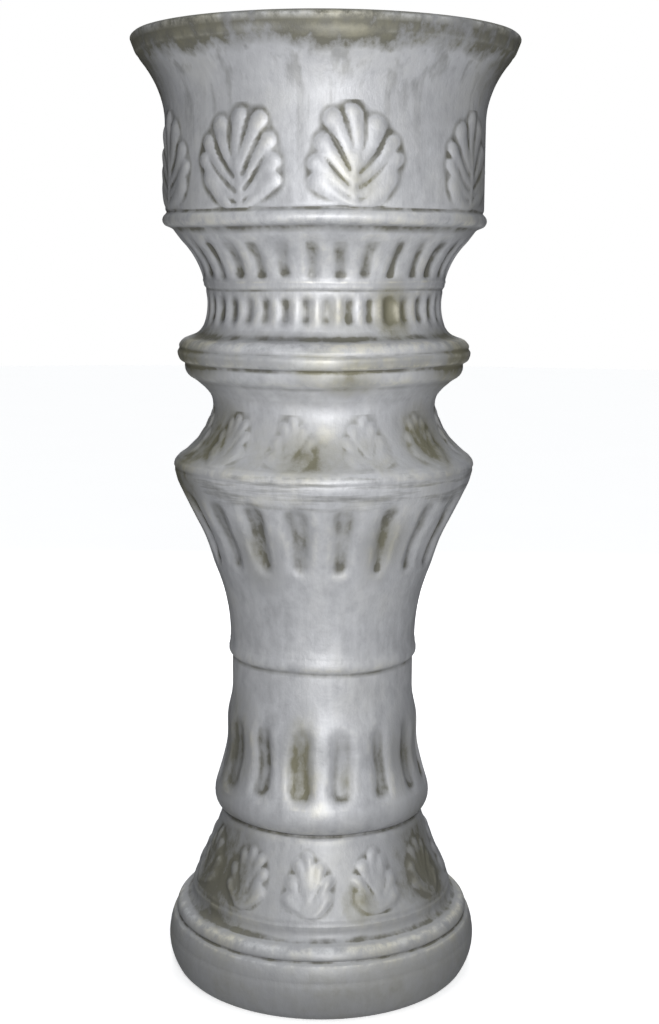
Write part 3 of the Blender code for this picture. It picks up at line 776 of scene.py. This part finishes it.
class Finish(Nodes):
    """A material under construction."""

    def __init__(self, name):
        self.material = bpy.data.materials.new(name)
        super().__init__(self.material)
        self.shader = self.tree.nodes["Principled BSDF"]
        self.place = self.node("ShaderNodeTexCoord", {}).outputs["Object"]

    def stretched(self, x, y, z):
        """Object coordinates scaled along each axis."""
        node = self.node("ShaderNodeVectorMath", {"operation": "MULTIPLY"})
        self.feed(node.inputs[0], self.place)
        node.inputs[1].default_value = (x, y, z)
        return node.outputs[0]

    def noise(self, stretch, detail, roughness=0.55):
        """Cloudy noise from 0 to 1 with that many lumps to the metre along each axis."""
        node = self.node(
            "ShaderNodeTexNoise", {}, Vector=self.stretched(*stretch), Scale=1.0,
            Detail=detail, Roughness=roughness)
        return self.value(node.outputs["Fac"])

    def attribute(self, name):
        """A value that the mesh carries."""
        return self.value(self.node("ShaderNodeAttribute", {"attribute_name": name}).outputs["Fac"])

    def distance(self, point, squash):
        """Distance from a point, with height counted squash times."""
        node = self.node("ShaderNodeVectorMath", {"operation": "DISTANCE"})
        self.feed(node.inputs[0], self.stretched(1, 1, squash))
        node.inputs[1].default_value = (point[0], point[1], point[2] * squash)
        return self.value(node.outputs["Value"])

    def mix(self, share, first, second):
        """The first colour turning into the second as share goes from 0 to 1."""
        node = self.node("ShaderNodeMix", {"data_type": "RGBA"})
        self.feed(node.inputs[0], share)
        self.feed(node.inputs[6], first)
        self.feed(node.inputs[7], second)
        return node.outputs[2]


class Patch(NamedTuple):
    """A soft patch of paint: its place, reach, squash upright, strength and share of olive."""

    turn: float
    height: float
    radius: float
    reach: float
    squash: float
    strength: float
    olive: float = 0.0

    def closeness(self, finish):
        """1 at the patch's middle, 0 at its reach and less beyond."""
        turn = math.radians(self.turn)
        point = (self.radius * math.sin(turn), -self.radius * math.cos(turn), self.height)
        return 1 - finish.distance(point, self.squash) / self.reach


# Dark patches. Most are real marks of olive and dark paint. Those at 58 to 80 degrees either side, except
# the two on the scotia, stand for painted shade where the surface turns away from the front light, over
# some dark paint.
STAINS_AND_SIDE_SHADE = (
    Patch(33, 0.652, 0.112, 0.030, 0.9, 0.9, 1.0),
    Patch(5, 0.652, 0.112, 0.020, 1.0, 0.4, 0.6),
    Patch(-4, 0.606, 0.136, 0.034, 1.4, 0.8, 1.0),
    Patch(10, 0.592, 0.130, 0.034, 1.4, 0.7, 0.9),
    Patch(-12, 0.235, 0.094, 0.024, 0.42, 1.0, 1.0),
    Patch(14, 0.215, 0.096, 0.016, 0.5, 0.6, 0.5),
    Patch(-58, 0.530, 0.118, 0.050, 1.0, 0.8, 0.7),
    Patch(-6, 0.522, 0.125, 0.055, 1.8, 0.7, 0.9),
    Patch(52, 0.530, 0.118, 0.050, 1.0, 0.9, 0.8),
    Patch(17, 0.102, 0.124, 0.026, 1.0, 1.0, 1.0),
    Patch(-58, 0.118, 0.118, 0.072, 0.9, 1.2, 0.3),
    Patch(62, 0.125, 0.116, 0.068, 0.9, 1.2, 0.3),
    Patch(28, 0.028, 0.144, 0.090, 1.2, 0.5, 0.3),
    Patch(28, 0.440, 0.118, 0.030, 0.6, 0.6, 0.4),
    Patch(-32, 0.430, 0.114, 0.034, 0.6, 0.6, 0.3),
    Patch(11, 0.765, 0.150, 0.030, 1.0, 0.4, 0.8),
    Patch(-64, 0.225, 0.096, 0.055, 0.8, 0.8, 0.2),
    Patch(60, 0.230, 0.095, 0.045, 0.8, 0.7, 0.2),
    Patch(-76, 0.492, 0.138, 0.075, 1.1, 0.8, 0.4),
    Patch(-74, 0.775, 0.149, 0.070, 0.8, 0.5, 0.1),
    Patch(72, 0.770, 0.149, 0.070, 0.8, 0.6, 0.2),
    Patch(-66, 0.608, 0.136, 0.070, 1.6, 1.0, 0.5),
    Patch(66, 0.608, 0.136, 0.070, 1.6, 1.0, 0.5),
    Patch(-80, 0.872, 0.177, 0.080, 1.2, 1.1, 0.2),
    Patch(80, 0.872, 0.177, 0.080, 1.2, 1.1, 0.2),
    Patch(150, 0.640, 0.112, 0.060, 1.0, 0.8, 0.9),
    Patch(-140, 0.520, 0.120, 0.060, 1.4, 0.8, 0.8),
    Patch(170, 0.240, 0.094, 0.040, 0.6, 0.8, 0.9),
    Patch(120, 0.110, 0.122, 0.055, 1.0, 0.8, 0.6),
    Patch(-115, 0.770, 0.150, 0.050, 1.0, 0.6, 0.8),
)


class Zone(NamedTuple):
    """Darker colour at some heights: where it sets in, is full, thins out and ends.

    Then come its share of dark and how much the clouds add to it or take away.
    """

    start: float
    full: float
    thinning: float
    end: float
    share: float
    clouds: float

    def amount(self, height):
        """1 from full to thinning, falling to 0 at start and end."""
        return height.between(self.start, self.full) * (1 - height.between(self.thinning, self.end))


# Zones, and heights between which the runs, the lip band and its olive set in
# The foot and bell zones only make the colour darker towards the foot and a little over the bell. The
# throat and roll zones are olive and dark paint, and the nose zone holds level scrapes.
FOOT_ZONE = Zone(-0.02, -0.01, 0.04, 0.20, 0.48, 0.8)
THROAT_ZONE = Zone(0.500, 0.512, 0.535, 0.560, 0.22, 1.1)
ROLL_ZONE = Zone(0.600, 0.604, 0.613, 0.617, 0.42, 1.3)
BELL_ZONE = Zone(0.79, 0.84, 1.00, 1.10, 0.10, 0.5)
NOSE_ZONE = Zone(0.474, 0.482, 0.508, 0.520, 0.65, 0.0)
RUNS_RISE = (0.755, 0.865)
LIP_RISE = (0.868, 0.883)
LIP_OLIVE_RISE = (0.868, 0.880)


def wear_and_shade(finish, hollow, sunk, clouds, mottle):
    """Two shares: how dark each place is, and how olive it is.

    The darkness is partly dark paint and partly painted shade. It lies blotchily in grooves
    and flutes, where it is dark paint and painted shade together, on the lip band, in runs
    below the lip, in level scrapes on the nose, a little over the bell and towards the foot,
    and in patches, those near the sides being painted shade over some dark paint.
    """
    height = finish.value(finish.node("ShaderNodeSeparateXYZ", {}, Vector=finish.place).outputs["Z"])
    uneven = (clouds - 0.5) * 1.2 + (mottle - 0.5)
    blotch = finish.noise((46, 46, 30), 3, 0.6).between(0.36, 0.62) * 0.9 + 0.50
    # Grooves, creases, leaf outlines and flutes get darker: dark paint left there and painted shade.
    dark = (hollow * (0.80 + uneven) + sunk * (0.34 + uneven)) * blotch
    dark = dark.larger(clouds.between(0.58, 0.78) * mottle * 0.6)
    for zone in (FOOT_ZONE, THROAT_ZONE, ROLL_ZONE, BELL_ZONE):
        dark = dark.larger(zone.amount(height) * (zone.share + uneven * zone.clouds))
    lip_edge = height + uneven * 0.010 + (blotch - 0.95) * 0.006
    dark = dark.larger(lip_edge.between(*LIP_RISE) * (1.2 + uneven * 2.3))
    scrapes = finish.noise((18, 18, 170), 3, 0.6).between(0.46, 0.68)
    dark = dark.larger(scrapes * NOSE_ZONE.amount(height) * NOSE_ZONE.share)
    runs = finish.noise((70, 70, 4), 3).between(0.50, 0.66)
    dark = dark.larger(runs * height.between(*RUNS_RISE) * 0.48)
    olive = 0.25 + uneven + THROAT_ZONE.amount(height) * 0.5
    olive = olive.larger(height.between(*LIP_OLIVE_RISE) * (0.50 + uneven * 1.6))
    for dark_patch in STAINS_AND_SIDE_SHADE:
        spot = (dark_patch.closeness(finish) + uneven * 0.5).clamped()
        dark = dark.larger(spot * (0.75 + hollow * 0.6 + uneven * 0.9) * dark_patch.strength * 1.5)
        olive = olive.larger((spot * (2.2 * dark_patch.olive)).clamped())
    return dark.clamped(), olive.clamped()


# Pale spots, mostly at the front, on the torus, throat, lip, leaves, flutes and base step: painted
# highlights where the front light glints, with some cream rubbing.
RUBS_AND_GLINTS = (
    Patch(-2, 0.607, 0.138, 0.030, 2.4, 1.6),
    Patch(-1, 0.590, 0.129, 0.018, 2.0, 0.9),
    Patch(4, 0.884, 0.180, 0.045, 7.0, 0.5),
    Patch(-20, 0.886, 0.180, 0.040, 7.0, 0.4),
    Patch(5, 0.770, 0.150, 0.024, 1.0, 1.0),
    Patch(-14, 0.765, 0.150, 0.012, 1.0, 0.7),
    Patch(-8, 0.650, 0.112, 0.022, 1.0, 1.0),
    Patch(2, 0.545, 0.108, 0.014, 1.0, 0.9),
    Patch(-18, 0.485, 0.142, 0.040, 4.0, 0.8),
    Patch(14, 0.482, 0.142, 0.030, 4.0, 0.6),
    Patch(-3, 0.240, 0.095, 0.014, 0.4, 1.0),
    Patch(-1, 0.190, 0.106, 0.018, 1.6, 1.0),
    Patch(-4, 0.130, 0.115, 0.013, 0.8, 1.1),
    Patch(16, 0.098, 0.124, 0.014, 1.2, 0.8),
    Patch(4, 0.062, 0.144, 0.030, 5.0, 0.8),
)


def grey_paint(paint):
    """Satin grey paint brushed on upright, dark and olive in the hollows with painted shade there, pale
    gold on the crests, painted highlights at the front.
    """
    finish = Finish("brushed_grey_paint")
    clouds = finish.noise((15, 15, 11), 4, 0.6)
    mottle = finish.noise((85, 85, 60), 5, 0.66)
    streaks = finish.noise((170, 170, 9), 3)
    hairs = finish.noise((560, 560, 24), 2)
    grain = finish.noise((900, 900, 900), 2)
    hollow = finish.attribute("hollow")
    crest = finish.attribute("crest")
    sunk = finish.attribute("sunk")
    lining = finish.attribute("lining")

    tone = 0.6 + (streaks - 0.5) * 1.1 * paint.streaks + (mottle - 0.5) * 1.2 + (clouds - 0.5) * 1.3
    grey = finish.mix(tone.clamped(), (*paint.dark_grey, 1), (*paint.light_grey, 1))
    dark, olive = wear_and_shade(finish, hollow, sunk, clouds, mottle)
    # Dark umber and olive where the dark share lies: dark paint, with painted shade in the grooves, flutes
    # and creases and at the sides.
    left = finish.mix(olive, (*paint.umber_and_shade, 1), (*paint.olive, 1))
    colour = finish.mix(dark * paint.patina_and_shade, grey, left)
    # Crests are rubbed pale gold, and the listed spots add painted highlights where the front light glints.
    rubbed = crest * (mottle.between(0.38, 0.62) * 1.1) + olive * (1 - dark) * 0.30
    for pale_spot in RUBS_AND_GLINTS:
        spot = (pale_spot.closeness(finish) + (mottle - 0.5) * 1.4).clamped()
        rubbed = rubbed.larger(spot * (1 - hollow) * pale_spot.strength)
    rubbed = rubbed.clamped()
    rub_and_glint_colour = finish.mix(clouds.between(0.44, 0.60), (*paint.bare_crest, 1), (*paint.pale_gold, 1))
    colour = finish.mix(rubbed * paint.rubbing_and_glint, colour, rub_and_glint_colour)
    clay = finish.mix(mottle, (*paint.dark_clay, 1), (*paint.light_clay, 1))
    colour = finish.mix(lining, colour, clay)
    finish.feed(finish.shader.inputs["Base Color"], colour)

    roughness = paint.roughness + (mottle - 0.5) * 0.22 + (hairs - 0.5) * 0.14 + dark * 0.12 + lining * 0.3
    finish.feed(finish.shader.inputs["Roughness"], roughness.clamped())
    metal = paint.sheen + rubbed * 0.20
    finish.feed(finish.shader.inputs["Metallic"], (metal * (1 - lining)).clamped())
    finish.shader.inputs["Coat Weight"].default_value = 0.20
    finish.shader.inputs["Coat Roughness"].default_value = 0.32
    relief = streaks * 0.15 + hairs * 0.08 + mottle * 1.6 + grain * 0.10
    bump = finish.node("ShaderNodeBump", {}, Strength=0.55, Distance=0.0009, Height=relief)
    finish.feed(finish.shader.inputs["Normal"], bump.outputs["Normal"])
    return finish.material


def pale_floor(stage):
    """Plain pale floor, a little cloudy."""
    finish = Finish("pale_floor")
    clouds = finish.noise((3, 3, 3), 2)
    low = tuple(c * 0.97 for c in stage.floor_colour)
    finish.feed(finish.shader.inputs["Base Color"], finish.mix(clouds, (*low, 1), (*stage.floor_colour, 1)))
    finish.shader.inputs["Roughness"].default_value = 0.85
    finish.shader.inputs["Emission Color"].default_value = (1, 1, 1, 1)
    finish.shader.inputs["Emission Strength"].default_value = stage.floor_glow
    return finish.material


# Settings

def colour(name, description, default):
    """A colour setting."""
    return FloatVectorProperty(
        name=name, description=description, default=default, subtype="COLOR", min=0, max=1)


def number(name, description, default, min=0, **more):
    """A number setting, not negative unless min says so."""
    return FloatProperty(name=name, description=description, default=default, min=min, **more)


def length(name, description, default, min=0):
    """A length setting."""
    return number(name, description, default, min, subtype="DISTANCE", unit="LENGTH")


class CarvingSettings(PropertyGroup):
    """Sizes of the carving and fineness of the surface."""

    leaf_relief: length("Leaf relief", "How far the large leaves stand out", 0.0028)
    flute_depth: length("Flute depth", "Depth of the flutes of the taper", 0.0048)
    unevenness: length("Unevenness", "Height of the slow waves of the cast body", 0.0004)
    sway: length("Sway", "How far the mouldings rise and fall round the column", 0.0006)
    row_pitch: length("Row pitch", "Distance between rings on plain mouldings", 0.007, min=0.001)
    plain_columns: IntProperty(
        name="Plain columns", description="Points round a ring of a plain moulding",
        default=168, min=12)
    hollow_columns: IntProperty(
        name="Hollow columns", description="Points round a ring of the hollow",
        default=64, min=12)


class PaintSettings(PropertyGroup):
    """Colours and wear of the paint."""

    light_grey: colour("Light grey", "Paint where it lies thick", (0.62, 0.63, 0.66))
    dark_grey: colour("Dark grey", "Paint where the brush left it thin", (0.36, 0.365, 0.38))
    olive: colour("Olive", "Olive rubbed into patches and the lip", (0.165, 0.155, 0.090))
    # Dark umber is also the colour of the painted shade in grooves, flutes, creases and at the sides.
    umber_and_shade: colour(
        "Dark umber", "Dark paint left in grooves and flutes", (0.105, 0.104, 0.095))
    # Pale gold and bare crest are also the colours of the painted highlights.
    pale_gold: colour("Pale gold", "Rubbing on crests and edges", (0.86, 0.83, 0.70))
    bare_crest: colour("Bare crest", "Crests and edges that were wiped clean", (0.76, 0.77, 0.78))
    dark_clay: colour("Dark clay", "Bare clay of the hollow, darkest", (0.20, 0.19, 0.175))
    light_clay: colour("Light clay", "Bare clay of the hollow, lightest", (0.30, 0.285, 0.26))
    # This strength also covers the painted shade.
    patina_and_shade: number("Patina", "Strength of the dark paint", 0.92, max=1)
    # This strength also covers the painted highlights.
    rubbing_and_glint: number("Rubbing", "Strength of the pale gold on the crests", 0.6, max=1)
    streaks: number("Streaks", "Strength of the upright brush marks", 0.4, max=2)
    roughness: number("Roughness", "Average roughness of the paint", 0.58, max=1)
    sheen: number("Sheen", "Share of metal in the paint", 0.26, max=1)


class StageSettings(PropertyGroup):
    """Floor, lights and camera."""

    floor_colour: colour("Floor colour", "Colour of the floor", (0.86, 0.86, 0.86))
    floor_radius: length("Floor radius", "Radius of the round floor", 9.0)
    floor_glow: number("Floor glow", "Strength of the floor's own light", 0.52)
    light_power: number("Light power", "Power of the front light", 13.0, unit="POWER")
    back_power: number("Back power", "Power of the weak light behind", 14.0, unit="POWER")
    level_light: number("Level light", "Strength of the surround at eye level", 0.02)
    top_light: number("Top light", "Strength of the surround overhead", 1.15)
    low_light: number("Low light", "Strength of the surround from below", 0.36)
    camera_distance: length("Camera distance", "Level distance from the column's axis", 1.513)
    camera_height: length("Camera height", "Height of the camera over the floor", 0.698)
    camera_pitch: FloatProperty(
        name="Camera pitch", description="How far the camera looks down",
        default=math.radians(9.11), subtype="ANGLE", unit="ROTATION")
    camera_turn: FloatProperty(
        name="Camera turn", description="How far the camera looks to the right of the axis",
        default=math.radians(0.23), subtype="ANGLE", unit="ROTATION")
    camera_roll: FloatProperty(
        name="Camera roll", description="How far the camera leans to the left",
        default=math.radians(0.34), subtype="ANGLE", unit="ROTATION")
    camera_lens: FloatProperty(
        name="Camera lens", description="Focal length",
        default=55.44, subtype="DISTANCE_CAMERA", unit="CAMERA")


# Operators

FLOOR_CORNERS = 64
FLOOR_DROP = 0.0002


def add_object(name, data):
    """Links a new object into the scene."""
    made = bpy.data.objects.new(name, data)
    bpy.context.scene.collection.objects.link(made)
    return made


class COLUMN_OT_body(Operator):
    """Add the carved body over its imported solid"""

    bl_idname = "column.body"
    bl_label = "Add Carved Body"

    def execute(self, context):
        """Builds the surface, paints it and lets it stand for the solid."""
        carving = context.scene.column_carving
        mesh = mesh_from("carved_column", *join_sheets(column_sheets(carving), carving.sway))
        mesh.materials.append(grey_paint(context.scene.column_paint))
        body = add_object("carved_column", mesh)
        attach(body, "root")
        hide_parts(COLUMN_NODE)
        return {"FINISHED"}


class COLUMN_OT_stage(Operator):
    """Add the floor, the lights and the camera"""

    bl_idname = "column.stage"
    bl_label = "Add Stage"

    def execute(self, context):
        """Builds everything around the column."""
        stage = context.scene.column_stage
        self.add_floor(stage)
        self.add_light("front_light", (0.05, -1.25, 0.62), (0, 0, 0.90), (0.14, 0.60), stage.light_power)
        self.add_light("back_light", (0, 2.0, 1.0), (0, 0, 0.5), (0.7, 0.9), stage.back_power)
        self.add_world(context.scene, stage)
        self.add_camera(context.scene, stage)
        context.scene.view_settings.view_transform = "Standard"
        return {"FINISHED"}

    def add_floor(self, stage):
        """A flat disc round the origin, just below the column."""
        turns = even_directions(FLOOR_CORNERS, 0)
        ring = np.stack([np.sin(turns), -np.cos(turns), 0 * turns], axis=1) * stage.floor_radius
        points = np.concatenate([ring, [[0, 0, 0]]])
        points[:, 2] = -FLOOR_DROP
        triangles = fan_faces(FLOOR_CORNERS, 0, FLOOR_CORNERS, True)
        mesh = mesh_from("floor", points, triangles, {})
        mesh.materials.append(pale_floor(stage))
        floor = add_object("floor", mesh)
        floor.visible_diffuse = False
        floor.visible_glossy = False

    def add_light(self, name, place, aim, size, power):
        """A soft light of a width and height at a place, turned to a point."""
        light = bpy.data.lights.new(name, "AREA")
        light.shape = "RECTANGLE"
        light.energy = power
        light.size, light.size_y = size
        lamp = add_object(name, light)
        lamp.location = place
        lamp.visible_camera = False
        lamp.rotation_mode = "QUATERNION"
        lamp.rotation_quaternion = (Vector(aim) - Vector(place)).to_track_quat("-Z", "Y")

    def add_world(self, scene, stage):
        """A surround that looks white and lights by direction.

        Its strength is that of the level light, plus the rest of the top light and of the
        light from below by how far a direction points up or down.
        """
        world = bpy.data.worlds.new("surround")
        surround = Nodes(world)
        direction = surround.node("ShaderNodeTexCoord", {}).outputs["Generated"]
        up = surround.value(
            surround.node("ShaderNodeSeparateXYZ", {}, Vector=direction).outputs["Z"])
        above = up.between(0.45, 0.95) * (stage.top_light - stage.level_light)
        below = (0 - up).between(0.10, 0.80) * (stage.low_light - stage.level_light)
        lit = surround.tree.nodes["Background"]
        surround.feed(lit.inputs["Color"], (0.96, 0.98, 1.0, 1))
        surround.feed(lit.inputs["Strength"], above + below + stage.level_light)
        seen = surround.node("ShaderNodeBackground", {}, Color=(1, 1, 1, 1), Strength=1.0)
        to_camera = surround.node("ShaderNodeLightPath", {}).outputs["Is Camera Ray"]
        mix = surround.node("ShaderNodeMixShader", {}, Fac=to_camera)
        surround.feed(mix.inputs[1], lit.outputs[0])
        surround.feed(mix.inputs[2], seen.outputs[0])
        surround.feed(surround.tree.nodes["World Output"].inputs["Surface"], mix.outputs[0])
        scene.world = world

    def add_camera(self, scene, stage):
        """A camera at the photograph's place, looking a little down."""
        data = bpy.data.cameras.new("photo_camera")
        data.lens = stage.camera_lens
        camera = add_object("photo_camera", data)
        camera.location = (0, -stage.camera_distance, stage.camera_height)
        ahead = Vector((
            math.sin(stage.camera_turn) * math.cos(stage.camera_pitch),
            math.cos(stage.camera_turn) * math.cos(stage.camera_pitch),
            -math.sin(stage.camera_pitch)))
        camera.rotation_mode = "QUATERNION"
        roll = Quaternion((0, 0, 1), stage.camera_roll)
        camera.rotation_quaternion = ahead.to_track_quat("-Z", "Y") @ roll
        scene.camera = camera


class COLUMN_PT_sidebar(Panel):
    """Lists the settings and the operators"""

    bl_idname = "COLUMN_PT_sidebar"
    bl_label = "Carved Column"
    bl_space_type = "VIEW_3D"
    bl_region_type = "UI"
    bl_category = "Column"

    def draw(self, context):
        """Draws each group's settings over its operator."""
        scene = context.scene
        groups = (scene.column_carving, scene.column_paint, scene.column_stage)
        for group in groups:
            box = self.layout.box()
            for name in group.__annotations__:
                box.prop(group, name)
        self.layout.operator("column.body")
        self.layout.operator("column.stage")


CLASSES = (
    CarvingSettings,
    PaintSettings,
    StageSettings,
    COLUMN_OT_body,
    COLUMN_OT_stage,
    COLUMN_PT_sidebar,
)


def register():
    """Makes the settings, operators and panel known to Blender."""
    for cls in CLASSES:
        bpy.utils.register_class(cls)
    bpy.types.Scene.column_carving = PointerProperty(type=CarvingSettings)
    bpy.types.Scene.column_paint = PointerProperty(type=PaintSettings)
    bpy.types.Scene.column_stage = PointerProperty(type=StageSettings)


def unregister():
    """Takes them away again."""
    del bpy.types.Scene.column_stage
    del bpy.types.Scene.column_paint
    del bpy.types.Scene.column_carving
    for cls in reversed(CLASSES):
        bpy.utils.unregister_class(cls)


def main():
    """Builds the whole scene."""
    register()
    bpy.ops.column.body()
    bpy.ops.column.stage()


if __name__ == "__main__":
    main()
